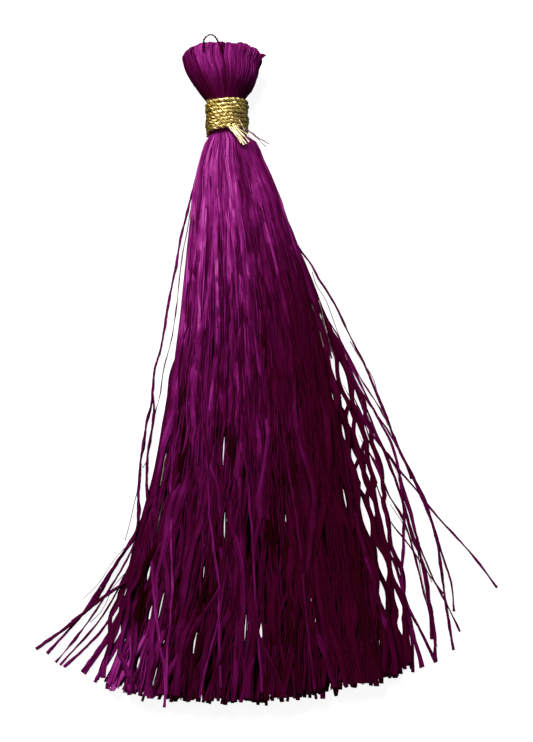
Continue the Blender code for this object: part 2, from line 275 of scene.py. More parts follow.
RIGHT_STRAYS = [Stray(*row) for row in (
    (0.36, 0.9, ((6.2, -11), (8.7, -16.4), (10, -18.1), (11, -20.2), (12.3, -22.5), (13.2, -24.3),
        (14.8, -28), (16.2, -31), (18.2, -36.5), (19.5, -40.1), (21.5, -44.6), (23.9, -51.7),
        (24.8, -58.8), (25.6, -64.7))),
    (0.30, 0.6, ((8.9, -17.5), (11.9, -25), (13.8, -28.7), (15.9, -32.9), (18, -36.4), (20, -41.2),
        (22.6, -46.8), (24.7, -53.9), (25.7, -57.8), (25.8, -60.3))),
    (0.26, 0.5, ((13.2, -29), (14.4, -31.5), (16.4, -35.3), (18.2, -38), (18.8, -39), (20.4, -42.2),
        (21.4, -44.8))),
    (0.30, 0.5, ((12.4, -27), (15.8, -34.6), (18.6, -41.8), (22.2, -46.6), (26, -51.4),
        (28.6, -54.5), (30.7, -57.6))),
    (0.26, 0.5, ((19.6, -43.5), (21.3, -50), (23.5, -56.5), (25.4, -60.2), (26.4, -62.6))),
    (0.36, 0.7, ((12, -25), (14.7, -30.9), (17.5, -37.3), (19.4, -41.5), (20.3, -47.3),
        (20.4, -51.8), (20.1, -55.7), (20.3, -59.8), (21.6, -64.4), (22.2, -66.6))),
    (0.36, 0.9, ((13.2, -28.4), (16.4, -37.5), (18.2, -41.3), (20.1, -47), (21.3, -51.8),
        (22.8, -56.5), (23.1, -59.8), (23.3, -63.5))),
    (0.30, 0.4, ((14.8, -33.2), (16.9, -40.6), (18.7, -46.7), (20.3, -49.4), (21.3, -53),
        (22.6, -58.6), (23.4, -62.5), (23.7, -66))),
    (0.34, 0.6, ((16, -39.6), (17.9, -44.9), (18.4, -49.4), (19.4, -54.8), (20.7, -59.8),
        (22.6, -63.8), (23.5, -66.1))),
    (0.22, 0.3, ((17.2, -43), (18.5, -49.1), (21, -52.7), (22.7, -55.4), (24.6, -58.3))),
    (0.34, 0.4, ((18.9, -52.4), (20, -57.4), (21.1, -62.1), (22, -66.7))),
    (0.34, 0.3, ((19.3, -56), (20.4, -60.8), (21, -63.6), (21.1, -67.2))),
    (0.34, 0.8, ((14.2, -33.5), (17.2, -40), (19.6, -43.4), (21, -48.2), (22.2, -54.2),
        (22.9, -58.8), (23.5, -62.2), (23.6, -65.6))),
)]

LEFT_STRAYS = [Stray(*row) for row in (
    (0.42, 0.8, ((-1.6, -1.6), (-2.4, -3.2), (-3.1, -5.2), (-3.6, -7.4), (-4.1, -9.2),
        (-4.7, -11.6), (-5.4, -15), (-6, -19.3), (-6.6, -22.5), (-7.15, -25.8), (-7.6, -29.3),
        (-8.2, -31.9), (-8.4, -34.4), (-8.6, -36.3), (-9, -37.9), (-9.3, -40.9), (-9.6, -42.9),
        (-9.7, -44.9), (-9.8, -46.9), (-9.7, -48.9), (-10.1, -51.9), (-11.7, -54.2), (-13, -56.5),
        (-15, -60), (-18, -62.6), (-20.8, -64.6))),
    (0.38, 0.6, ((-8.2, -31.9), (-8.4, -34.4), (-8.2, -36.8), (-8.5, -39.5), (-8.8, -41.5),
        (-8.9, -43.3), (-8.9, -45.1), (-8.8, -46.5), (-9, -53), (-10.2, -59.6), (-11.8, -65.5),
        (-12.8, -68.2))),
    (0.22, 0.7, ((-2.9, -4.5), (-3.6, -8), (-4.3, -11.5), (-4.75, -14.5), (-5.15, -17),
        (-5.6, -21.5), (-6, -25.5), (-6.5, -28.8), (-7.2, -31.7), (-7.6, -34.8), (-8.1, -36.8),
        (-8.5, -39.5))),
    (0.20, 0.6, ((-9.6, -42.9), (-9.45, -43.5), (-9.15, -43.1), (-8.85, -42.2))),
    (0.34, 0.5, ((-7, -43), (-8.4, -47.2), (-9.7, -50.4), (-11.2, -53.4), (-13, -56.2),
        (-16, -60.9), (-19.6, -65.1))),
    (0.32, 0.7, ((-7, -43.5), (-8.3, -47.6), (-9.6, -51.2), (-10.9, -54.4), (-13, -58.2),
        (-16, -62.8), (-18.6, -66.1))),
    (0.30, 0.3, ((-7, -44), (-8.4, -48.6), (-9.6, -52.4), (-11, -55.8), (-13, -60),
        (-18.1, -66.4))),
    (0.34, 0.4, ((-6.9, -44), (-8.5, -49.6), (-9.8, -54), (-12.5, -60.8), (-15.4, -64.5),
        (-17.6, -66.6))),
    (0.40, 0.8, ((-7, -45), (-8.9, -51.6), (-10.6, -56.6), (-13.4, -58.7), (-16.9, -61.5))),
    (0.42, 0.5, ((-7.8, -45), (-8.9, -51), (-9.9, -55.6), (-11.5, -60.2), (-13.2, -63.6),
        (-15.6, -67.2))),
    (0.36, 0.8, ((-7.5, -44), (-8.7, -51), (-9.6, -55.8), (-11.3, -60.6), (-13.2, -64.2),
        (-15.4, -67.4))),
    (0.40, 0.6, ((-7.4, -46), (-8.6, -52.1), (-9.4, -56.8), (-10.7, -61.4), (-12.4, -64.8),
        (-14, -68))),
    (0.34, 0.9, ((-7.4, -44), (-8.4, -51.1), (-9.2, -56.2), (-10.7, -61.6), (-12.2, -65.2),
        (-14.2, -68.3))),
)]

FIBRES = [Stray(*row) for row in (  # from the silk to the tip
    (0.10, 4.3, ((2.2, -2.2), (2.6, -2.5), (3.4, -3.1), (4.2, -3.7), (5.1, -4.3))),
    (0.08, 4.25, ((2.3, -2.3), (3.2, -2.8), (4, -3.9), (4.8, -4.7))),
    (0.07, 4.2, ((2.2, -2.2), (2.8, -2.6), (3.6, -3.5), (4.6, -3.8))),
    (0.08, 0.8, ((10.2, -19.4), (10.6, -20.7), (11.7, -22.7), (12.4, -24.7), (12.8, -26),
        (13.6, -28.3), (14.2, -30.5))),
    (0.09, 0.9, ((14.6, -28.2), (15.5, -29.8), (16.1, -30.9), (17.1, -32.6), (17.8, -35.3),
        (18.3, -37), (18.8, -38.6))),
    (0.08, 0.7, ((-9.8, -45.5), (-10, -46.8), (-10.4, -48.7), (-10.8, -50.6), (-11.2, -52.2))),
    (0.07, 0.5, ((18.9, -47.9), (20.1, -49.9), (21.4, -52.5), (22.6, -54.9), (23.4, -57.1))),
    (0.07, 0.4, ((21, -50), (21.9, -53.4), (22.3, -56.8), (23.2, -61), (23.8, -64.4))),
    (0.06, 0.5, ((-10.2, -52), (-12, -53.9), (-13.9, -56.9), (-15.8, -59))),
    (0.06, 0.4, ((-11, -55.8), (-12.3, -57.4), (-13.6, -60.2), (-14.9, -61.6))),
)]


class EdgeRow(NamedTuple):
    """How far the thin open edges reach beyond the skirt's close threads."""

    down: float
    left: float
    right: float


OPEN_EDGES = [EdgeRow(*row) for row in (
    (10, -0.3, -0.3),
    (17, -0.1, -0.1),
    (19.5, 0, 0.2),
    (25, 0, 0.6),
    (28.3, 0.1, 1.4),
    (30.5, 0.2, 2),
    (35, 0.3, 2.4),
    (44, 0.4, 2.8),
    (47.5, 0.5, 2.5),
    (51, 1, 1.9),
    (56, 1.1, 2.4),
    (59, 1.5, 2),
    (63, 1.6, 1.6),
    (68, 1.1, 1.8),
    (72, 0.9, 1.8),
)]


class Parting(NamedTuple):
    """A gap between threads through which the floor shows."""

    x: float
    down: float
    half_length: float
    half_width: float


PARTINGS = [Parting(*row) for row in (
    (11.6, 26.7, 2.3, 0.3), (11.2, 28, 0.9, 0.06), (10.2, 24, 0.5, 0.06), (12.5, 35.2, 0.6, 0.08),
    (13.1, 37.5, 0.6, 0.08), (13.7, 39.4, 0.85, 0.1), (13.7, 47.3, 1.3, 0.08),
    (12.75, 31.4, 1.9, 0.32), (13.8, 35.8, 0.9, 0.28), (14.6, 38.1, 1.1, 0.28),
    (14.9, 42.8, 1, 0.28), (15.4, 44.3, 0.65, 0.24), (15.9, 46.1, 0.6, 0.24),
    (16.1, 49.6, 2.2, 0.38), (17.9, 55.2, 1.6, 0.35), (17.8, 58.5, 1.7, 0.35),
    (13.8, 32.9, 2.1, 0.3), (15.5, 35.9, 1.6, 0.36), (15.6, 40, 1.7, 0.32), (16.4, 42.3, 1, 0.26),
    (16.6, 44.2, 0.75, 0.24), (17.7, 46.7, 0.85, 0.28), (16.9, 48.4, 1.1, 0.24),
    (16.4, 39.3, 0.8, 0.2), (17.2, 43.3, 2.3, 0.35), (18, 49.3, 1.8, 0.2), (19.5, 56.2, 1.9, 0.35),
    (19.6, 59.3, 1.4, 0.25), (19.7, 62.2, 0.7, 0.15), (-9.3, 47, 1.8, 0.22), (-8.4, 49.2, 1, 0.2),
    (-11.1, 58.2, 0.5, 0.2), (-10, 58.8, 0.6, 0.2), (-12.1, 60.9, 1, 0.2), (-11.1, 63.7, 0.8, 0.25),
    (-12.2, 65.2, 2.5, 0.35), (-7.2, 49.4, 1.5, 0.08), (-8.4, 56.1, 0.9, 0.1),
    (-8.1, 60.6, 0.7, 0.12), (-6.9, 60.3, 1.7, 0.1), (-6.5, 64.4, 0.9, 0.12),
    (-6.2, 38.3, 0.5, 0.06), (-6.4, 41, 1.2, 0.08), (-6.9, 43.9, 1.2, 0.05),
    (-7.2, 67.3, 1.2, 0.12), (-9.3, 66.2, 0.8, 0.12), (-13.2, 64.9, 1, 0.14), (0, 41.6, 1, 0.03),
    (0.2, 50.3, 1.4, 0.06), (-2.1, 56, 0.9, 0.05), (-3, 64, 0.6, 0.03), (2.6, 62.3, 1.3, 0.06),
)]
PARTING_LEAN = 0.36  # towards the hem, for each unit of height: how a gap crosses the pile
PARTING_MARGIN = 0.06  # beyond half a ribbon's width
# Painted shade: the pale grey fibres across the inner gaps also stand in for the floor's shade seen
# through those gaps.
INNER_MIDDLE, INNER_REACH = 2.5, 10.0  # where gaps have silk on both sides, and fibres cross them
GAP_FIBRES = 12  # in each of those
GAP_FIBRE_WIDTHS = (0.07, 0.11)
FIBRE_WIDENING = 1.3  # for the listed fibres
FIBRE_LOWEST = 0.08
FIBRE_TONE = 0.4  # of the listed fibres
COMPANION_WIDTH = 0.33  # a stray wider than this has a second thread beside it
STRAY_STEP = 0.65  # from point to point of its route
STRAY_JOINS = 0.9  # a stray that starts within this of the open edge comes out of it
TUCK_INSIDE, TUCK_OUTSIDE = 1.6, 0.5  # how far its start lies under the skirt
TUCK_LIMIT = 0.2  # from the close threads, which parts those two
STRAY_TONES = (0.02, 0.14)  # of a stray in the shade
STRAY_TURN = (5, 9)  # length in which a stray turns once
SURFACE_PLIES = 3  # in a loose thread on the skirt
SURFACE_PLY_OFFSET = 0.24  # beside the thread's width, as the next one
SURFACE_PLY_WIDTH = 0.6
SURFACE_STEP = 0.6


class SurfaceThread(NamedTuple):
    """A loose thread that lies on the skirt: its width, its tone and its way."""

    width: float
    tone: float
    way: tuple  # x and distance from the binding


SURFACE_THREADS = [SurfaceThread(*row) for row in (
    (0.27, 0.46, ((-5.5, 32), (-5.8, 41), (-6, 45.8), (-5.9, 51.7), (-5.7, 57.4), (-5.8, 62),
        (-6.1, 64.8), (-6, 70.2))),
    (0.38, 0.5, ((-7.9, 45), (-8.1, 51.7), (-8, 55.1), (-7.6, 59.7), (-7, 64.2), (-6.4, 67.3),
        (-6.2, 70), (-6.3, 71.6))),
    (0.32, 0.33, ((0.6, 50), (0.2, 57), (-0.6, 62.5), (-1.9, 67.5), (-2.5, 70.6))),
    (0.30, 0.3, ((-2.6, 34), (-1.9, 44), (-1.4, 51.5), (-0.5, 58), (-0.4, 63), (-0.2, 69.5))),
    (0.30, 0.2, ((1.8, 32), (2.5, 44), (3.2, 52), (3.6, 60), (4.4, 70))),
    (0.48, 0.12, ((12.4, 36), (13.8, 44), (15.1, 51.3), (16.2, 55.2), (17.4, 59.7), (18.3, 63.2),
        (19.4, 67.2))),
    (0.26, 0.12, ((6, 33), (6.9, 42), (8.4, 52), (9.1, 60.5), (10.1, 69.8))),
)]


def place(obj, name):
    """Links a finished object and gives it its name."""
    bpy.context.scene.collection.objects.link(obj)
    obj.name = name
    return obj


def through(places, values, at):
    """Values at new places, on a smooth curve through a few given ones."""
    places, values, at = (np.asarray(item, float) for item in (places, values, at))
    slopes = np.gradient(values, places)
    right = np.clip(np.searchsorted(places, at), 1, len(places) - 1)
    left = right - 1
    gap = places[right] - places[left]
    t = np.clip((at - places[left]) / gap, 0, 1)
    start = (1 + 2 * t) * (1 - t) ** 2 * values[left] + t * (1 - t) ** 2 * gap * slopes[left]
    end = t**2 * (3 - 2 * t) * values[right] + t**2 * (t - 1) * gap * slopes[right]
    return start + end


def ramp(value, low, high):
    """0 below low, 1 above high, and a soft rise between them."""
    t = np.clip((np.asarray(value, float) - low) / (high - low), 0, 1)
    return t * t * (3 - 2 * t)


def wander(rng, along, wavelength):
    """A smooth wander of about unit size: three waves near one length, at random phases."""
    total = 0.0
    for share in (0.72, 1.0, 1.37):
        length = wavelength * share * rng.uniform(0.88, 1.12)
        total = total + np.sin(TAU * (along / length + rng.uniform()))
    return total / 1.22


def distance_along(route):
    """How far each point of a route is from its start."""
    return np.concatenate([[0], np.cumsum(np.linalg.norm(np.diff(route, axis=0), axis=1))])


def smooth_route(points, step=1.0, pieces=None):
    """A route through given points: in even steps, or in given pieces between the points."""
    points = np.asarray(points, float)
    chord = distance_along(points)
    if pieces:
        order = [part / count + span for span, count in enumerate(pieces) for part in range(count)]
        at = np.interp(order + [len(pieces)], range(len(points)), chord)
    else:
        at = np.linspace(0, chord[-1], max(int(chord[-1] / step), 2) + 1)
    return np.stack([through(chord, points[:, axis], at) for axis in range(3)], axis=1)


class Bundle:
    """Threads gathered in millimetres, which Geometry Nodes sweep into one mesh."""

    def __init__(self):
        self.routes = []
        self.marks = {name: [] for name in ("half_width", "tilt", "along", "tone", "shade", "kind")}

    def add(self, route, width, tone, twist=0.0, turn=0.0, lane=None, shade=0.0):
        """One thread: its width, its tone from 0 to 1, its twist in turns a millimetre, a lane,
        which is close to another thread's lane where both shine alike, and its shade, which is 1
        in a dark hollow."""
        along = distance_along(route)
        lane = len(self.routes) * GOLDEN % 1 if lane is None else lane
        values = (np.asarray(width) / 2 * MM, turn + TAU * twist * along, along, tone, shade, lane)
        for mark, value in zip(self.marks.values(), values):
            mark.append(np.broadcast_to(value, len(route)))
        self.routes.append(route)

    def sweep(self, name, material, sides=THREAD_SIDES, flatness=THREAD_FLATNESS):
        """Turns the gathered threads into one closed-ended mesh object."""
        curves = bpy.data.hair_curves.new(name + "_routes")
        curves.add_curves([len(route) for route in self.routes])
        curves.points.foreach_set("position", np.concatenate(self.routes).ravel() * MM)
        for mark, values in self.marks.items():
            attribute = curves.attributes.new(mark, "FLOAT", "POINT")
            attribute.data.foreach_set("value", np.concatenate(values).astype(np.float32))
        source = place(bpy.data.objects.new(name + "_routes", curves), name + "_routes")
        group = sweeping_nodes(source, sides, flatness)
        carrier = place(bpy.data.objects.new(name, bpy.data.meshes.new(name)), name + "_carrier")
        modifier = carrier.modifiers.new("Sweep", "NODES")
        modifier.node_group = group
        graph = bpy.context.evaluated_depsgraph_get()
        mesh = bpy.data.meshes.new_from_object(carrier.evaluated_get(graph))
        bpy.data.objects.remove(carrier)
        bpy.data.objects.remove(source)
        bpy.data.hair_curves.remove(curves)
        bpy.data.node_groups.remove(group)
        if not mesh.polygons:
            raise RuntimeError(f"{name} has no faces")
        mesh.name = name
        mesh.materials.clear()
        mesh.materials.append(material)
        return place(bpy.data.objects.new(name, mesh), name)


def sweeping_nodes(source, sides, flatness):
    """A node group that sweeps an oval along every route, with each point's place round it."""
    group = bpy.data.node_groups.new("Sweep threads", "GeometryNodeTree")
    group.interface.new_socket("Geometry", in_out="OUTPUT", socket_type="NodeSocketGeometry")

    def node(kind, settings=None, values=None):
        made = group.nodes.new(kind)
        for key, setting in (settings or {}).items():
            setattr(made, key, setting)
        for key, value in (values or {}).items():
            if isinstance(value, bpy.types.NodeSocket):
                group.links.new(value, made.inputs[key])
            else:
                made.inputs[key].default_value = value
        return made.outputs[0] if made.outputs else made

    info = group.nodes.new("GeometryNodeObjectInfo")
    info.inputs["Object"].default_value = source
    routes = node("GeometryNodeCurveSplineType", {"spline_type": "POLY"},
                  {"Curve": info.outputs["Geometry"]})
    circle = node("GeometryNodeCurvePrimitiveCircle", None, {"Resolution": sides, "Radius": 1.0})
    marked = node("GeometryNodeStoreNamedAttribute", {"data_type": "FLOAT_VECTOR"},
                  {"Geometry": circle, "Name": "around", "Value": node("GeometryNodeInputPosition")})
    oval = node("GeometryNodeTransform", None, {"Geometry": marked, "Scale": (1, flatness, 1)})
    half_width = node("GeometryNodeInputNamedAttribute", None, {"Name": "half_width"})
    swept = node("GeometryNodeCurveToMesh", None,
                 {"Curve": routes, "Profile Curve": oval, "Scale": half_width, "Fill Caps": True})
    smooth = node("GeometryNodeSetShadeSmooth", None, {"Geometry": swept})
    node("NodeGroupOutput", None, {0: smooth})
    return group


class Value:
    """One output of a shader node, so that shading sums read as Python expressions."""

    def __init__(self, paint, socket):
        self.paint = paint
        self.socket = socket

    def _sum(self, operation, first, second):
        several = any(
            isinstance(item, tuple) or (isinstance(item, Value) and item.socket.type != "VALUE")
            for item in (first, second)
        )
        if several:
            first, second = (
                (item,) * 3 if isinstance(item, (int, float)) else item for item in (first, second)
            )
        kind = "ShaderNodeVectorMath" if several else "ShaderNodeMath"
        return self.paint.node(kind, {"operation": operation}, {0: first, 1: second})

    def __add__(self, other):
        return self._sum("ADD", self, other)

    def __radd__(self, other):
        return self._sum("ADD", other, self)

    def __sub__(self, other):
        return self._sum("SUBTRACT", self, other)

    def __rsub__(self, other):
        return self._sum("SUBTRACT", other, self)

    def __mul__(self, other):
        return self._sum("MULTIPLY", self, other)

    def __rmul__(self, other):
        return self._sum("MULTIPLY", other, self)

    def __truediv__(self, other):
        return self._sum("DIVIDE", self, other)

    def power(self, exponent):
        return self._sum("POWER", self, exponent)


class Paint:
    """A material under construction."""

    def __init__(self, name):
        self.material = bpy.data.materials.new(name)
        self.material.use_nodes = True
        self.tree = self.material.node_tree
        self.shader = self.tree.nodes["Principled BSDF"]

    def node(self, kind, settings=None, values=None, output=0):
        """Any node: its settings first, then the values or links of its inputs."""
        made = self.tree.nodes.new(kind)
        for key, setting in (settings or {}).items():
            setattr(made, key, setting)
        for key, value in (values or {}).items():
            if isinstance(value, Value):
                self.tree.links.new(value.socket, made.inputs[key])
            else:
                made.inputs[key].default_value = value
        return Value(self, made.outputs[output])

    def finish(self, **sockets):
        """Sets or links the shader's own inputs, with underscores for the spaces in their names."""
        for key, value in sockets.items():
            socket = self.shader.inputs[key.replace("_", " ")]
            if isinstance(value, Value):
                self.tree.links.new(value.socket, socket)
            else:
                socket.default_value = value
        return self.material

    def attribute(self, name, output="Fac"):
        return self.node("ShaderNodeAttribute", {"attribute_name": name}, None, output)

    def split(self, vector, axis):
        return self.node("ShaderNodeSeparateXYZ", None, {"Vector": vector}, axis)

    def wave(self, kind, turns):
        """The sine or cosine of a number of full turns."""
        return self.node("ShaderNodeMath", {"operation": kind}, {0: turns * TAU})

    def mix(self, share, start, end):
        """Between two colours."""
        return self.node("ShaderNodeMix", {"data_type": "RGBA"},
                         {0: share, 6: start, 7: end}, 2)

    def limit(self, value, low, high, to_low=0.0, to_high=1.0):
        """A number moved from one range to another, and held inside it."""
        return self.node("ShaderNodeMapRange", None,
                         {0: value, 1: low, 2: high, 3: to_low, 4: to_high})

    def noise(self, vector, scale, detail=2.0, roughness=0.5):
        return self.node("ShaderNodeTexNoise", None,
                         {"Vector": vector, "Scale": scale, "Detail": detail,
                          "Roughness": roughness})

    def vector(self, x, y, z):
        return self.node("ShaderNodeCombineXYZ", None, {"X": x, "Y": y, "Z": z})

    def bump(self, height, distance, strength=1.0):
        return self.node("ShaderNodeBump", None,
                         {"Height": height, "Distance": distance, "Strength": strength})


def plies(paint, pitch):
    """The ridges of two plies twisted together, from -1 to 1, and the fall across them."""
    around = paint.attribute("around", "Vector")
    x = paint.split(around, 0)
    y = paint.split(around, 1)
    turns = paint.attribute("along") / pitch
    sine = paint.wave("SINE", turns)
    cosine = paint.wave("COSINE", turns)
    double_cosine = x * x - y * y
    double_sine = 2.0 * x * y
    ridge = double_cosine * cosine + double_sine * sine
    slope = double_sine * cosine - double_cosine * sine
    return ridge, slope


def silk_material(name, deep="deep", bright="bright"):
    """Floss silk in two of the silk's colours: fine plied filaments, each thread with its tones,
    which carry painted light, painted shade and painted glints.
    """
    settings = settings_of("silk")
    deep, bright = (getattr(settings, key) for key in (deep, bright))
    paint = Paint(name)
    along = paint.attribute("along")
    tone = paint.attribute("tone")
    kind = paint.attribute("kind")
    ridge, slope = plies(paint, settings.ply_pitch / MM)
    fibres = paint.noise(paint.vector(ridge * FIBRES_ACROSS, slope * FIBRES_ACROSS + kind * 61.0,
                                      along * FIBRES_ALONG), 1.6, 3.0, 0.65)
    # Painted glints: the glimmer noise lightens short dashes of the base colour, and the shine
    # follows it and the painted light in the tone.
    glimmer = paint.noise(paint.vector(along * GLIMMER_ALONG, kind * GLIMMER_ACROSS, 0.0),
                          1.0, 1.5)
    glint = paint.limit(glimmer, 0.40, 0.68)
    # Painted shade: the shade attribute darkens the silk towards the hollow colour, deep between the
    # locks and low in the pile.
    lit = 1.0 - paint.attribute("shade")
    pale = paint.limit(tone * (0.5 + glint * 0.9) * (0.85 + fibres * 0.3), 0.0, 1.0)
    share = 1.0 - (1.0 - pale).power(1.6)
    shine = paint.limit(tone * (0.4 + glint) * lit, 0.3, 1.3, 0.0, 0.9)
    colour = paint.mix(share, (*deep, 1), (*bright, 1))
    return paint.finish(
        Base_Color=paint.mix(lit, (*settings.hollow_shade_colour, 1), colour),
        Roughness=paint.limit(shine, 0.0, 0.6, settings.roughness + 0.24, settings.roughness),
        Metallic=settings.lustre * shine,
        Coat_Weight=settings.sheen_level * shine,
        Coat_Roughness=settings.roughness + 0.05,
        Coat_IOR=1.45,
        Specular_IOR_Level=0.0,
        Specular_Tint=(*settings.sheen_colour, 1),
        Normal=paint.bump(ridge * 0.3 + fibres * 0.6, 0.012 * MM, 0.5),
    )


def gold_material(name, bright, olive, metal):
    """Foil strips wound on a thread: smooth facets, brown where one strip dips under the next."""
    paint = Paint(name)
    place_on_piece = paint.node("ShaderNodeTexCoord", None, None, "Object")
    tone = paint.attribute("tone")
    along = paint.attribute("along")
    beside = paint.split(paint.attribute("around", "Vector"), 0)
    flakes = paint.noise(place_on_piece, FLAKES, 1.0, 0.5)
    drift = paint.noise(paint.vector(along * 0.9, paint.attribute("kind") * 31.0, 0.0), 1.0, 1.0)
    # Wear and painted shade: flakes and drift wear the foil to olive at random, and the tone adds
    # the binding's painted light and shade.
    wear_and_shade = paint.limit(flakes * 0.5 + drift + (tone - 0.65) * 0.5, 0.55, 0.95)
    colour = paint.mix(wear_and_shade, (*olive, 1), (*bright, 1))
    rim = paint.limit(beside * beside, 0.35, 0.95)
    return paint.finish(
        Base_Color=paint.mix(rim * GOLD_RIM_SHARE, colour, (*GOLD_RIM, 1)),
        Metallic=metal,
        Roughness=paint.limit(wear_and_shade, 0.0, 1.0, *GOLD_ROUGHNESS),
        Normal=paint.bump(flakes, 0.02 * MM, 0.5),
    )


def length_setting(name, description, default, low, high):
    """A property for a length, given here in millimetres."""
    return bpy.props.FloatProperty(name=name, description=description, default=default * MM,
                                   min=low * MM, max=high * MM, unit="LENGTH", precision=5)


def share_setting(name, description, default, low=0.0):
    """A property for a share, up to 1."""
    return bpy.props.FloatProperty(name=name, description=description, default=default, min=low,
                                   max=1.0, subtype="FACTOR")


def colour_setting(name, description, default):
    """A property for a colour."""
    return bpy.props.FloatVectorProperty(name=name, description=description, default=default,
                                         min=0.0, max=1.0, size=3, subtype="COLOR")


class SilkSettings(bpy.types.PropertyGroup):
    """Sizes and colours of the silk."""

    ply_pitch: length_setting("Ply pitch", "Length of thread in which its plies turn once",
                              2.4, 0.5, 10)
    roughness: share_setting("Roughness", "How much the silk spreads its shine", 0.48, 0.1)
    lustre: share_setting("Lustre", "Share of the shine that takes the silk's own colour", 0.26)
    sheen_level: share_setting("Shine", "Strength of the silk's shine", 0.6)
    sheen_colour: colour_setting("Shine colour", "Colour of the silk's shine", (1.0, 0.78, 0.96))
    deep: colour_setting("Deep silk", "Colour of the silk in its darker threads",
                         (0.030, 0.0004, 0.0075))
    bright: colour_setting("Bright silk", "Colour of the silk in its lighter threads",
                           (0.232, 0.010, 0.158))
    # Painted shade: the colour that the silk is darkened towards in the hollows between the locks.
    hollow_shade_colour: colour_setting("Hollows", "Colour of the silk deep between the locks",
                           (0.0095, 0.0006, 0.0012))
    faded: colour_setting("Faded silk", "Colour of the palest fine fibres", (0.36, 0.22, 0.24))


class GoldSettings(bpy.types.PropertyGroup):
    """Sizes and colours of the gold thread."""

    foil_width: length_setting("Foil width", "Width of one foil strip in the gold thread",
                               0.5, 0.1, 1)
    twist_pitch: length_setting("Twist pitch", "Length of gold thread in which its strips turn once",
                                1.5, 0.4, 5)
    bright: colour_setting("Bright gold", "Colour of the foil's facets", (0.78, 0.63, 0.25))
    olive: colour_setting("Olive gold", "Colour of the foil in its worn and shaded places",
                          (0.38, 0.27, 0.04))
    pale: colour_setting("Pale gold", "Colour of the loose foil end", (0.70, 0.60, 0.47))


class StageSettings(bpy.types.PropertyGroup):
    """Floor and studio light."""

    floor_colour: colour_setting("Floor", "Colour of the floor", (0.22, 0.22, 0.22))
    floor_glow: share_setting("Floor glow", "Light that the floor gives by itself", 0.9)
    key_power: bpy.props.FloatProperty(
        name="Key light", description="Power of the soft light above the head", unit="POWER",
        default=1.6, min=0.0, max=20.0)
    fill: share_setting("Fill", "Strength of the light from all round", 0.24)


def settings_of(kind):
    """The scene's own settings for the silk, the gold or the stage."""
    return getattr(bpy.context.scene, "tassel_" + kind)


def finish_piece(piece, slot, *nodes):
    """Rides a piece on the body, and hides the parts of the model that it stands for. Its slot is
    not used.
    """
    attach(piece, BODY)
    if nodes:
        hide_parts(*nodes)
    return piece


def skirt_section(down):
    """Middle, half width and top of the skirt at places along it."""
    rows = np.array(SKIRT)
    left, right, top = (through(rows[:, 0], rows[:, column], down) for column in (1, 2, 3))
    return (left + right) / 2, (right - left) / 2, top


def lying(x, down, z):
    """A route of points that are given by their distance from the binding."""
    return np.stack([x, -down, z], axis=1)


def edge_reach(down, side):
    """How far the open edge on one side reaches beyond the skirt's close threads."""
    rows = np.array(OPEN_EDGES)
    return through(rows[:, 0], rows[:, 1 if side < 0 else 2], down)


def pile(down, across, height, top):
    """How high a point of the pile lies: round at the neck, and a low mound further down."""
    across = np.clip(across, -PILE_LIMIT, PILE_LIMIT)
    flat = ramp(down, 3.0, 17.0)
    arch = np.sqrt(1 - across**2)
    mound = np.sqrt(1 - np.abs(across) ** 3)
    low = (AXIS_HEIGHT - NECK * arch) * (1 - flat) + PILE_FLOOR * flat
    round_high = AXIS_HEIGHT + (top - AXIS_HEIGHT) * arch
    mound_high = (top - PILE_RIM) * mound + PILE_RIM
    return low + height * (round_high * (1 - flat) + mound_high * flat - low)


def hem(across):
    """Where the hem is, for a place between the skirt's left and right corners."""
    return HEM_MIDDLE - HEM_CURVE * across**2 - HEM_LEAN * across


def parted(x, down, height, clearance):
    """Moves a thread aside where it would cross a gap, and leaves it alone elsewhere."""
    middle, half, _ = skirt_section(down)
    for gap in PARTINGS * 2:  # twice, as a move out of one gap can lead into the next
        gap_down = gap.down + PARTING_LEAN * (height - 1.0)
        room = gap.half_width + clearance
        reach = gap.half_length / math.sqrt(gap.half_width / room)
        fall = (down - gap_down) / reach
        near = np.abs(fall) < 3
        if not near.any():
            continue
        gap_middle, gap_half, _ = skirt_section(gap.down)
        share = (gap.x - gap_middle) / gap_half
        offset = x - (middle + half * share)
        side = 1.0 if np.interp(gap.down, down, offset) > 0 else -1.0
        outward = side * offset
        wanted = room * (1 - fall**2)
        pushed = (outward + wanted + np.sqrt((outward - wanted) ** 2 + 0.01)) / 2
        x = np.where(near, x + side * (pushed - outward) * ramp(3 - np.abs(fall), 0, 1), x)
    return x


def sunlit(down, across):
    """Painted light on the silk: how pale it is, most on the upper left and at the hem's left
    corner, and least on the right and at the hem.
    """
    fade = 1 - 0.67 * ramp(down, 10, 35) - 0.21 * ramp(down, 36, 56)
    right = 0.45 + 0.45 * ramp(down, 8, 26) - 0.2 * ramp(down, 52, 66)
    right = 1 - right * ramp(across, -0.6, 0.65)
    corner = 0.8 * ramp(-across, 0.6, 0.9) * ramp(down, 60, 67)
    return fade * right + corner


def hollow_shade(tone, crown, loner, down, across, end, height):
    """How deep in shade a filament lies: most in dark locks, on their sides and low in the pile."""
    lit = tone + 0.25 * (crown - 0.7) - 0.06 * ramp(down, 30, 50)
    shade = (1 - ramp(lit, 0.22, 0.62)) * (1 - loner)
    shade = 1 - (1 - shade) * (0.5 + 0.5 * height)
    shade = shade * (0.25 + 0.75 * ramp(down, 10, 42))
    shade = shade * (1 - 0.4 * ramp(across, 0.1, 0.6))
    return shade * (1 - 0.55 * ramp(down, end - HEM_TIPS, end))


def lit_tone(tone, crown, loner, down, across, height):
    """How pale a filament is: its random tone, with painted light, most on the crown of a pale lock,
    high in the pile and where sunlit paints the light.
    """
    tone = np.clip((tone - 0.18) / 0.62, 0, 1) ** (1 + 1.2 * ramp(down, 10, 45))
    tone = tone * (0.4 + 0.6 * crown) * 1.15
    tone = (0.16 + tone + 0.4 * loner) * sunlit(down, across)
    return tone * (0.5 + 0.5 * height)


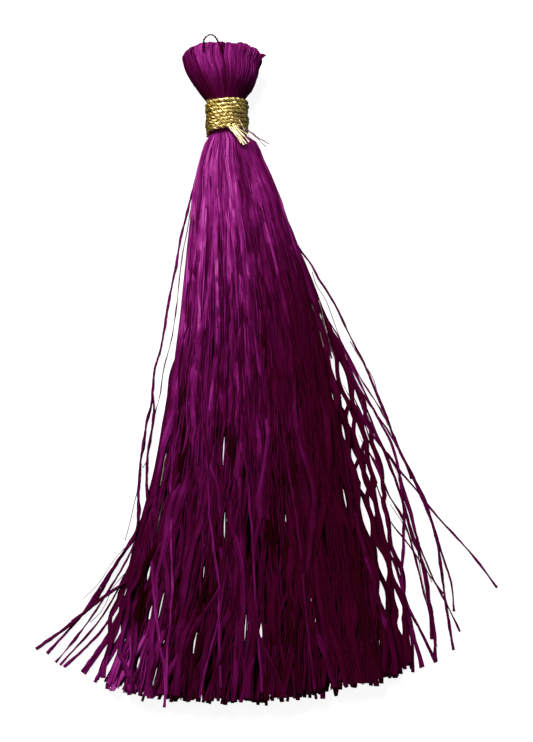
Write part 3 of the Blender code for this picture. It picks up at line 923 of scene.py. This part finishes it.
def lay_lock(bundle, rng, across, layer):
    """One lock: flat ribbons of filaments that lie on its round back and sway across it."""
    lock_tone = rng.uniform(0, 1)
    lock_lane = rng.uniform(0, 1)
    lock_end = hem(across) + rng.normal(*LOCK_END)
    wave_seed = rng.integers(1 << 30)
    lock_size = layer.spread * rng.uniform(*LOCK_SIZES)
    for ribbon in range(layer.ribbons):
        loner = rng.uniform() < LONER_SHARE * layer.height
        seat = 2 * (ribbon + rng.uniform(0.2, 0.8)) / layer.ribbons - 1
        end = lock_end - LOCK_POINT * seat**2 + rng.normal(0, RIBBON_END)
        end = end + HEM_RISE * layer.height
        t = np.linspace(0, 1, SKIRT_STEPS + 1)
        down = SKIRT_START + (end - SKIRT_START) * t**STEP_GROWTH
        shared = np.random.default_rng(wave_seed)
        middle, half, top = skirt_section(down)
        part = ramp(down, 16, 60)
        lock_across = across + wander(shared, down, 38) * (0.006 + 0.022 * ramp(down, 8, 60))
        lumps = 1 + 0.14 * wander(shared, down, 7.5) * ramp(down, 3, 9)
        radius = lock_size * half / layer.locks * lumps
        lean = 1.2 * seat + 0.35 * wander(rng, down, 24)
        x = middle + half * lock_across + radius * np.sin(lean)
        x = x + wander(rng, down, 42) * (0.3 + 0.9 * loner) * part
        x = x + wander(rng, down, 14) * (0.015 + 0.11 * part)
        x = x + wander(rng, down, 9) * (0.01 + 0.03 * part)
        half_ribbon = layer.width * (1 + (layer.filaments - 1) * FILAMENT_GAP) / 2
        rim = half - half_ribbon * ramp(down, 1, 6) - rng.uniform(0, 0.25) * ramp(down, 4, 12)
        x = np.clip(x, middle - rim, middle + rim)
        z = pile(down, lock_across, layer.height, top)
        z = z + radius * LOCK_ROUNDNESS * (np.cos(lean) - 0.6)
        z = z + (0.15 * loner + 0.12 * wander(rng, down, 19)) * part
        z = z + (wander(shared, down, 7.5) * 0.09 + wander(rng, down, 6.5) * 0.03) * ramp(down, 2, 8)
        x = parted(x, down, z, half_ribbon + PARTING_MARGIN)
        ribbon_tone = rng.uniform(0, 1)
        drift = wander(shared, down, 26)
        tilt = lean + 0.3 * wander(rng, down, 13)
        taper = (0.55 + 0.45 * ramp(down, 1, 14)) * (1 - 0.15 * ramp(down, end - 2.0, end))
        for filament in range(layer.filaments):
            width = layer.width * rng.uniform(0.9, 1.15) * taper
            place_in = (filament - (layer.filaments - 1) / 2) * layer.width * FILAMENT_GAP
            off = place_in * taper * (1 + 0.25 * wander(rng, down, 16))
            lift = z - off * np.sin(tilt) - RIBBON_ARCH * off**2
            lift = np.maximum(lift, width * THREAD_REST + FLOOR_CLEARANCE)
            route = lying(x + off * np.cos(tilt), down, lift)
            last = len(route) - int(rng.uniform() < CUT_SHARE)
            # Painted light and shade: a random tone, lightened and darkened by where the filament
            # lies in the pile.
            tone = 0.56 * lock_tone + 0.32 * ribbon_tone + 0.12 * rng.uniform(0, 1)
            crown = np.cos(lean)
            shade = hollow_shade(tone + 0.16 * drift, crown, loner, down, lock_across, end,
                                 layer.height)
            tone = lit_tone(tone, crown, loner, down, lock_across, layer.height)
            lane = lock_lane + RIBBON_LANE * ribbon + FILAMENT_LANE * filament
            bundle.add(route[:last], width[:last], tone[:last], lane=lane, shade=shade[:last])


def lay_open_edge(bundle, rng, side, lanes, start):
    """A thin sheet of threads beside the close ones, with gaps between them."""
    for lane in range(lanes):
        end = hem(side * 0.97) - 1.2 * lane / lanes + rng.normal(0, 0.35)
        down = np.linspace(start, end, int((end - start) / EDGE_STEP))
        middle, half, _ = skirt_section(down)
        beyond = edge_reach(down, side) + 0.3
        tucked = 1.4 * (1 - ramp(down, start, start + 9))
        line = middle + side * (half - 0.5 - tucked + beyond * (lane + 0.5) / lanes)
        line = line + 0.04 * wander(rng, down, 11)
        rise = 0.4 + 0.5 * rng.uniform() + 0.1 * wander(rng, down, 9)
        rise = rise + 1.6 * (1 - ramp(down, start, start + 14))
        line = parted(line, down, rise, EDGE_ROOM)
        # A random tone, with painted light from sunlit.
        tone = rng.uniform(0.1, 0.3) * sunlit(down, side * 0.9)
        for filament in range(EDGE_FILAMENTS):
            off = (filament - 1) * EDGE_FILAMENT_GAP * (1 + 0.2 * wander(rng, down, 8))
            width = EDGE_FILAMENT_WIDTH * rng.uniform(0.9, 1.15)
            width = width * (0.6 + 0.4 * ramp(down, start, start + 10))
            lift = np.maximum(rise + 0.02 * wander(rng, down, 7),
                              width * THREAD_REST + FLOOR_CLEARANCE)
            bundle.add(lying(line + off, down, lift), width, tone)


def lay_floss(bundle, rng):
    """A fine thread that comes up between the ribbons and lies loosely on them."""
    across = rng.uniform(-0.95, 0.95)
    start = rng.uniform(4, 34)
    down = np.linspace(start, hem(across) + rng.normal(0.1, 0.25), FLOSS_STEPS)
    middle, half, top = skirt_section(down)
    part = ramp(down, 16, 60)
    x = middle + half * (across + 0.02 * wander(rng, down, 40) * part)
    x = x + 0.4 * wander(rng, down, 30) * part + wander(rng, down, 11) * (0.04 + 0.09 * part)
    x = np.clip(x, middle - half + 0.2, middle + half - 0.2)
    under = 1.1 * (1 - ramp(down, start, start + 9))
    z = pile(down, (x - middle) / half, 0.97, top) + 0.14 - under + 0.09 * wander(rng, down, 9)
    x = parted(x, down, z, FLOSS_ROOM)
    # Painted light from sunlit, and painted shade where the thread comes up from under the ribbons.
    tone = (0.1 + 0.9 * rng.uniform() ** (1 + ramp(down, 10, 45))) * sunlit(down, across)
    tone = tone * (0.45 + 0.55 * ramp(down, start + 2, start + 11))
    z = np.maximum(z, 0.1 + FLOOR_CLEARANCE)
    bundle.add(lying(x, down, z), rng.uniform(*FLOSS_WIDTHS), tone)


def lay_surface_thread(bundle, rng, thread):
    """A loose thread that lies on the skirt, thicker and thinner in turn."""
    x, down = (np.array(axis) for axis in zip(*thread.way))
    at = np.linspace(down[0], down[-1], int((down[-1] - down[0]) / SURFACE_STEP))
    line = through(down, x, at) + 0.03 * wander(rng, at, 5)
    middle, half, top = skirt_section(at)
    height = pile(at, (line - middle) / half, 1.0, top)
    height = height + 0.2 - 1.0 * (1 - ramp(at, down[0], down[0] + 7))
    height = np.maximum(height, thread.width)
    swell = (1 + 0.16 * wander(rng, at, 2.6)) * (0.4 + 0.6 * ramp(at, at[0], at[0] + 12))
    for filament in range(SURFACE_PLIES):
        angle = TAU * (filament / SURFACE_PLIES + at / (11 + 30 * thread.width))
        off = thread.width * SURFACE_PLY_OFFSET
        route = lying(line + off * np.cos(angle), at, height + off * np.sin(angle))
        # Painted shade: darker where the thread comes up from under the ribbons.
        bundle.add(route, thread.width * SURFACE_PLY_WIDTH * swell,
                   thread.tone * ramp(at, at[0] + 3, at[0] + 18))


def lay_stray(bundle, rng, stray, companions):
    """A listed stray, with the threads that keep close to it."""
    for index in range(companions):
        points = [(x, y, stray.height) for x, y in stray.way]
        route = smooth_route(points, STRAY_STEP)
        along = distance_along(route)
        middle, half, _ = skirt_section(-route[0, 1])
        side = np.sign(route[0, 0] - middle)
        clear = side * (route[0, 0] - middle) - half
        if clear < edge_reach(-route[0, 1], side) + STRAY_JOINS:
            tuck = TUCK_INSIDE if clear < TUCK_LIMIT else TUCK_OUTSIDE
            route[:, 0] -= side * tuck * (1 - ramp(along, 0, 5))
        loose = 0.01 + 0.05 * index
        route[:, 0] += wander(rng, along, 7) * 0.015 + wander(rng, along, 17) * loose
        route[:, 2] += (AXIS_HEIGHT - stray.height) * (1 - ramp(-route[:, 1], 2, 12))
        route[:, 2] += wander(rng, along, 11) * 0.15
        route[:, 2] = np.maximum(route[:, 2] * (1 - 0.6 * ramp(along, along[-1] - 12, along[-1])),
                                 stray.width * STRAY_REST + FLOOR_CLEARANCE)
        thick = stray.width * (0.92 + 0.14 * wander(rng, along, 5))
        thick = thick * (0.1 + 0.9 * ramp(along, 0, min(4, along[-1] / 5)))
        thick = thick * (0.8 + 0.3 * ramp(-route[:, 1], 30, 52))
        thick = thick * (1 + 0.25 * ramp(along, along[-1] - 1.5, along[-1]))
        # A random tone, with painted light from sunlit.
        tone = rng.uniform(*STRAY_TONES) + 0.3 * sunlit(-route[:, 1], 0.8 * side)
        bundle.add(route, thick, tone, rng.choice((-1, 1)) / rng.uniform(*STRAY_TURN))


def lay_gap_fibre(bundle, rng, gap, height):
    """A fine fibre along a gap, a little askew."""
    reach = np.linspace(-1, 1, 9)
    down = gap.down + PARTING_LEAN * (height - 1.0) + 1.6 * gap.half_length * reach
    middle, half, _ = skirt_section(down)
    gap_middle, gap_half, _ = skirt_section(gap.down)
    line = middle + half * (gap.x - gap_middle) / gap_half
    line = line + gap.half_width * (rng.uniform(-0.8, 0.8) + rng.uniform(-1.4, 1.4) * reach)
    z = height + 0.05 * wander(rng, down, 3)
    width = rng.uniform(*GAP_FIBRE_WIDTHS)
    bundle.add(lying(line, down, z), width, rng.uniform(0.2, 1.0))


def lay_head_loops(bundle, rng, yarns, scale, filaments, width):
    """Yarns that rise from the neck, turn over the head's rim and go back down inside it."""
    for yarn in range(yarns):
        turn = TAU * (yarn + rng.uniform(-YARN_UNEVEN, YARN_UNEVEN)) / yarns
        bumpy = 0.25 + 0.75 * float(ramp(math.cos(turn), -0.2, 0.5))
        rim = rng.normal(0.0, YARN_RISE) * bumpy
        spread = rng.normal(0.0, YARN_SPREAD) * bumpy
        bend = rng.normal(0.0, YARN_BEND)
        yarn_tone = rng.uniform(0, 1)
        for filament in range(filaments):
            share = (filament + 0.5) / filaments - 0.5
            own_turn = turn + TAU / yarns * share * YARN_FILL + rng.normal(0, 0.006)
            own_rim = rim - 0.9 * bumpy * share**2 * 0.6 + rng.normal(0, 0.02)
            points = []
            for row in HEAD:
                size = scale if row.loose else min(scale + 0.1, 1.0)
                swell = size * (1 + (spread + rng.normal(0, 0.004)) * row.loose)
                angle = own_turn + bend * row.loose
                half = (row.right - row.left) / 2 * swell
                points.append((
                    (row.left + row.right) / 2 + half * math.cos(angle),
                    row.y + own_rim * row.loose * (row.y > HEAD_RIM),
                    row.middle_z + row.half_height * swell * math.sin(angle),
                ))
            route = smooth_route(points, pieces=HEAD_PIECES)
            along = distance_along(route)
            sway = HEAD_SWAY * ramp(along, 2.2, 5)
            route[:, 0] += sway * wander(rng, along, 4)
            route[:, 2] += sway * wander(rng, along, 4)
            route[:, 2] = np.maximum(route[:, 2], width / 2 + FLOOR_CLEARANCE)
            tone = 0.5 * yarn_tone + 0.5 * rng.uniform(0, 1)
            # Painted shade: a random tone, darkened towards the neck and on the head's left side.
            left = ramp(-route[:, 0] / np.maximum(route[:, 1], 2), 0.45, 0.68)
            tone = tone * (0.15 + 0.95 * ramp(route[:, 1], 3.4, 6.8)) * (1 - 0.7 * left)
            bundle.add(route, width * (0.6 + 0.4 * ramp(along, 2.2, 7)), tone, 0.0,
                       rng.uniform(0, TAU), yarn * GOLDEN % 1 + YARN_LANE * filament)


class TASSEL_OT_skirt(bpy.types.Operator):
    """Lay the skirt's threads, layer by layer, and its open edge."""

    bl_idname = "tassel.skirt"
    bl_label = "Skirt"

    def execute(self, context):
        material = silk_material("skirt_silk")
        rng = np.random.default_rng(SEED)
        for number, layer in enumerate(LAYERS, start=1):
            bundle = Bundle()
            for lock in range(layer.locks):
                uneven = rng.uniform(-LOCK_UNEVEN, LOCK_UNEVEN)
                across = SKIRT_FILL * (2 * (lock + 0.5) + uneven - layer.locks) / layer.locks
                lay_lock(bundle, rng, across, layer)
            piece = bundle.sweep(f"skirt_layer_{number}", material)
            finish_piece(piece, SILK_SLOT, *(["silk_hank"] if number == 1 else []))
        edges = Bundle()
        for side, lanes, start in EDGE_SHEETS:
            lay_open_edge(edges, rng, side, lanes, start)
        finish_piece(edges.sweep("skirt_open_edges", material), SILK_SLOT)
        floss = Bundle()
        for _ in range(FLOSS_THREADS):
            lay_floss(floss, rng)
        finish_piece(floss.sweep("skirt_floss", material, FINE_SIDES), SILK_SLOT)
        loose = Bundle()
        for thread in SURFACE_THREADS:
            lay_surface_thread(loose, rng, thread)
        finish_piece(loose.sweep("surface_threads", material), SILK_SLOT)
        return {"FINISHED"}


class TASSEL_OT_strays(bpy.types.Operator):
    """Lay the threads that leave the skirt on both sides."""

    bl_idname = "tassel.strays"
    bl_label = "Stray threads"

    def execute(self, context):
        material = silk_material("stray_silk")
        rng = np.random.default_rng(SEED + 1)
        for name, strays in (("left_strays", LEFT_STRAYS), ("right_strays", RIGHT_STRAYS)):
            bundle = Bundle()
            for stray in strays:
                lay_stray(bundle, rng, stray, 2 if stray.width > COMPANION_WIDTH else 1)
            finish_piece(bundle.sweep(name, material), SILK_SLOT)
        return {"FINISHED"}


class TASSEL_OT_fibres(bpy.types.Operator):
    """Lay the finest fibres, which stand off the silk and cross its gaps."""

    bl_idname = "tassel.fibres"
    bl_label = "Fine fibres"

    def execute(self, context):
        material = silk_material("fibre_silk", bright="faded")
        rng = np.random.default_rng(SEED + 5)
        bundle = Bundle()
        for fibre in FIBRES:
            points = smooth_route([(x, y, fibre.height) for x, y in fibre.way], 0.5)
            along = distance_along(points)
            points[:, 2] = np.maximum(points[:, 2] + 0.1 * wander(rng, along, 6), FIBRE_LOWEST)
            bundle.add(points, fibre.width * FIBRE_WIDENING, FIBRE_TONE)
        for gap in PARTINGS:
            inside = abs(gap.x - INNER_MIDDLE) < INNER_REACH
            for _ in range(GAP_FIBRES if inside else 0):
                lay_gap_fibre(bundle, rng, gap, rng.uniform(0.2, 1.8))
        finish_piece(bundle.sweep("fine_fibres", material, FINE_SIDES), SILK_SLOT)
        return {"FINISHED"}


class TASSEL_OT_head(bpy.types.Operator):
    """Lay the loops of thread that make the head."""

    bl_idname = "tassel.head"
    bl_label = "Head"

    def execute(self, context):
        material = silk_material("head_silk")
        rng = np.random.default_rng(SEED + 2)
        outer = Bundle()
        for yarns in OUTER_YARNS:
            lay_head_loops(outer, rng, *yarns)
        for index in range(CORNER_THREADS):
            points = smooth_route(HEAD_CORNER, 0.25)
            along = distance_along(points)
            tip = ramp(along, 2, 5) * (1 - ramp(along, 5.5, 8))
            points[:, 0] += (index - 2) * 0.10 - 0.12 * (index % 2) * tip
            points[:, 2] += 0.22 * math.sin(index * 2.4) * tip + 0.03 * wander(rng, along, 4)
            outer.add(points, CORNER_WIDTH, CORNER_TONE)
        finish_piece(outer.sweep("head_outer_loops", material), SILK_SLOT)
        inner = Bundle()
        for yarns in INNER_YARNS:
            lay_head_loops(inner, rng, *yarns)
        finish_piece(inner.sweep("head_inner_loops", material), SILK_SLOT)
        return {"FINISHED"}


class TASSEL_OT_binding(bpy.types.Operator):
    """Wind the gold thread on the neck."""

    bl_idname = "tassel.binding"
    bl_label = "Gold binding"

    def execute(self, context):
        gold = settings_of("gold")
        material = gold_material("gold_thread", gold.bright, gold.olive, 1.0)
        rng = np.random.default_rng(SEED + 3)
        pitch = gold.twist_pitch / MM
        middle_radius = BINDING_OUTER - TURN_PITCH / 2
        turns = np.linspace(0, TURNS, TURNS * STEPS_PER_TURN)
        along = turns * TAU * middle_radius
        angle = TAU * turns - math.pi / 2
        radius = middle_radius + BINDING_BUMPS * wander(rng, along, 6)
        line_y = BINDING_MIDDLE_Y + (turns - TURNS / 2) * TURN_PITCH
        done = turns / TURNS
        slant = BINDING_SLANT[0] + (BINDING_SLANT[1] - BINDING_SLANT[0]) * done
        sag = BINDING_SAG[0] + (BINDING_SAG[1] - BINDING_SAG[0]) * done
        line_y = line_y + slant * np.cos(angle) + sag * (1 - np.abs(np.sin(angle)))
        line_y = line_y + BINDING_UNEVEN * wander(rng, along, 5)
        bundle = Bundle()
        for ply in PLIES:
            turn = TAU * (along / pitch + ply)
            reach = radius + PLY_OFFSET * np.cos(turn)
            route = np.stack([
                reach * np.cos(angle),
                line_y + PLY_OFFSET * np.sin(turn),
                np.maximum(AXIS_HEIGHT + reach * np.sin(angle), GOLD_LOWEST),
            ], axis=1)
            # Painted light: the gold is paler on the top of each turn and darker underneath and on
            # the left side.
            painted_light = 0.5 + 0.5 * np.sin(angle - 0.15) - 0.4 * ramp(-np.cos(angle), 0.2, 0.9)
            bundle.add(route, gold.foil_width / MM, painted_light, 1 / pitch, TAU * ply)
        finish_piece(bundle.sweep("gold_binding_turns", material, 6, 0.5), GOLD_SLOT, "gold_binding")
        return {"FINISHED"}


class TASSEL_OT_gold_ends(bpy.types.Operator):
    """Lay the loose foil end that comes out of the binding."""

    bl_idname = "tassel.gold_ends"
    bl_label = "Gold ends"

    def execute(self, context):
        gold = settings_of("gold")
        material = gold_material("pale_gold", gold.pale, gold.bright, 0.3)
        rng = np.random.default_rng(SEED + 4)
        bundle = Bundle()
        for start, tip_x, tip_y, width in TAIL_STRIPS:
            bow = rng.uniform(-0.08, 0.08)
            points = [
                (start - 0.25, -1.9, 4.62),
                (start, -2.6, 4.95),
                ((start + tip_x) / 2 + bow, (-2.6 + tip_y) / 2, 5.0 + 0.3 * abs(bow)),
                (tip_x, tip_y, TAIL_LOWEST + rng.uniform(-0.05, 0.1)),
            ]
            route = smooth_route(points, FINE_STEP)
            along = distance_along(route)
            route[:, 2] += 0.03 * wander(rng, along, 1.5)
            bundle.add(route, width * (1 + 0.12 * wander(rng, along, 1.2)), TAIL_TONE, 0.0,
                       rng.uniform(-0.3, 0.3))
        bundle.add(smooth_route(CROSSING_END, FINE_STEP), CROSSING_WIDTH, TAIL_TONE,
                   CROSSING_TWIST)
        finish_piece(bundle.sweep("gold_tail", material, 6, 0.3), GOLD_SLOT)
        return {"FINISHED"}


class TASSEL_OT_top_loop(bpy.types.Operator):
    """Bend the small loop of thread at the top of the head."""

    bl_idname = "tassel.top_loop"
    bl_label = "Top loop"

    def execute(self, context):
        material = silk_material("loop_silk", bright="deep")
        base = smooth_route(LOOP_WAY, FINE_STEP)
        along = distance_along(base)
        bundle = Bundle()
        for ply in PLIES:
            turn = TAU * (along / LOOP_PITCH + ply)
            route = base.copy()
            route[:, 0] += LOOP_PLY_OFFSET * np.cos(turn)
            route[:, 2] += LOOP_PLY_OFFSET * np.sin(turn)
            bundle.add(route, LOOP_PLY, LOOP_TONE)
        finish_piece(bundle.sweep("loop_thread", material), SILK_SLOT, "top_loop")
        return {"FINISHED"}


class TASSEL_OT_stage(bpy.types.Operator):
    """Lay the floor, and set the light and the camera."""

    bl_idname = "tassel.stage"
    bl_label = "Stage"

    def execute(self, context):
        stage = settings_of("stage")
        make_floor(stage)
        make_light(stage)
        make_camera()
        return {"FINISHED"}


def make_floor(stage):
    """A seamless white sweep: a flat floor that curves up into a dome all round."""
    mesh = bpy.data.meshes.new("studio_sweep")
    shell = bmesh.new()
    angles = [math.pi / 2 * step / SWEEP_STEPS for step in range(1, SWEEP_STEPS + 1)]
    outline = [(0, 0), (SWEEP_EDGE, 0)]
    outline += [(SWEEP_RADIUS - SWEEP_BEND * (1 - math.sin(angle)),
                 SWEEP_BEND * (1 - math.cos(angle))) for angle in angles]
    outline += [(SWEEP_RADIUS * math.cos(angle), SWEEP_BEND + SWEEP_RADIUS * math.sin(angle))
                for angle in angles]
    corners = [shell.verts.new((x, 0, z)) for x, z in outline]
    edges = [shell.edges.new(pair) for pair in zip(corners, corners[1:])]
    bmesh.ops.spin(shell, geom=corners + edges, cent=(0, 0, 0), axis=(0, 0, 1), angle=TAU,
                   steps=SWEEP_SIDES, use_merge=True)
    bmesh.ops.remove_doubles(shell, verts=shell.verts, dist=1e-5)
    bmesh.ops.recalc_face_normals(shell, faces=shell.faces)
    bmesh.ops.reverse_faces(shell, faces=shell.faces)
    for face in shell.faces:
        face.smooth = True
    shell.to_mesh(mesh)
    shell.free()
    paint = Paint("pale_sweep")
    grain = paint.noise(paint.node("ShaderNodeTexCoord", None, None, "Object"), FLOOR_GRAIN, 2.0)
    shade = paint.limit(grain, 0.3, 0.7, 0.98, 1.0)
    mesh.materials.append(paint.finish(
        Base_Color=paint.mix(shade, (0, 0, 0, 1), (*stage.floor_colour, 1)),
        Roughness=0.9, Specular_IOR_Level=0.1,
        Emission_Color=(1, 1, 1, 1), Emission_Strength=stage.floor_glow))
    sweep = place(bpy.data.objects.new("studio_sweep", mesh), "studio_sweep")
    sweep.visible_diffuse = False
    sweep.visible_glossy = False
    sweep.visible_shadow = False


def make_light(stage):
    """One soft light above the head's left, and an even fill."""
    light = bpy.data.lights.new("key", "AREA")
    light.energy = stage.key_power
    light.size = KEY_SIZE * MM
    lamp = place(bpy.data.objects.new("key", light), "key")
    lamp.visible_camera = False
    lamp.location = KEY_PLACE * MM
    lamp.rotation_euler = (KEY_AIM - KEY_PLACE).to_track_quat("-Z", "Y").to_euler()
    world = bpy.data.worlds.new("studio")
    world.use_nodes = True
    world.node_tree.nodes["Background"].inputs["Color"].default_value = (1, 1, 1, 1)
    world.node_tree.nodes["Background"].inputs["Strength"].default_value = stage.fill
    bpy.context.scene.world = world


def make_camera():
    """The camera at the photograph's angle."""
    camera = bpy.data.cameras.new("camera")
    camera.lens = CAMERA_LENS
    camera.clip_start = 0.001
    viewer = place(bpy.data.objects.new("camera", camera), "camera")
    viewer.location = CAMERA_PLACE * MM
    viewer.rotation_euler = (CAMERA_TARGET - CAMERA_PLACE).to_track_quat("-Z", "Y").to_euler()
    bpy.context.scene.camera = viewer


class TASSEL_PT_panel(bpy.types.Panel):
    """Lists the settings and the steps."""

    bl_idname = "TASSEL_PT_panel"
    bl_label = "Silk tassel"
    bl_space_type = "VIEW_3D"
    bl_region_type = "UI"
    bl_category = "Tassel"

    def draw(self, context):
        layout = self.layout
        for kind, group in SETTINGS.items():
            box = layout.box()
            box.label(text=kind.capitalize())
            for key in group.__annotations__:
                box.prop(getattr(context.scene, "tassel_" + kind), key)
        for operator in OPERATORS:
            layout.operator(operator.bl_idname)


SETTINGS = {"silk": SilkSettings, "gold": GoldSettings, "stage": StageSettings}
OPERATORS = (
    TASSEL_OT_skirt,
    TASSEL_OT_strays,
    TASSEL_OT_fibres,
    TASSEL_OT_head,
    TASSEL_OT_binding,
    TASSEL_OT_gold_ends,
    TASSEL_OT_top_loop,
    TASSEL_OT_stage,
)


def register():
    for kind, group in SETTINGS.items():
        bpy.utils.register_class(group)
        setattr(bpy.types.Scene, "tassel_" + kind, bpy.props.PointerProperty(type=group))
    for operator in OPERATORS:
        bpy.utils.register_class(operator)
    bpy.utils.register_class(TASSEL_PT_panel)


def unregister():
    bpy.utils.unregister_class(TASSEL_PT_panel)
    for operator in reversed(OPERATORS):
        bpy.utils.unregister_class(operator)
    for kind, group in SETTINGS.items():
        delattr(bpy.types.Scene, "tassel_" + kind)
        bpy.utils.unregister_class(group)


def main():
    register()
    bpy.context.scene.view_settings.view_transform = "Standard"
    bpy.ops.tassel.skirt()
    bpy.ops.tassel.strays()
    bpy.ops.tassel.fibres()
    bpy.ops.tassel.head()
    bpy.ops.tassel.binding()
    bpy.ops.tassel.gold_ends()
    bpy.ops.tassel.top_loop()
    bpy.ops.tassel.stage()


if __name__ == "__main__":
    main()
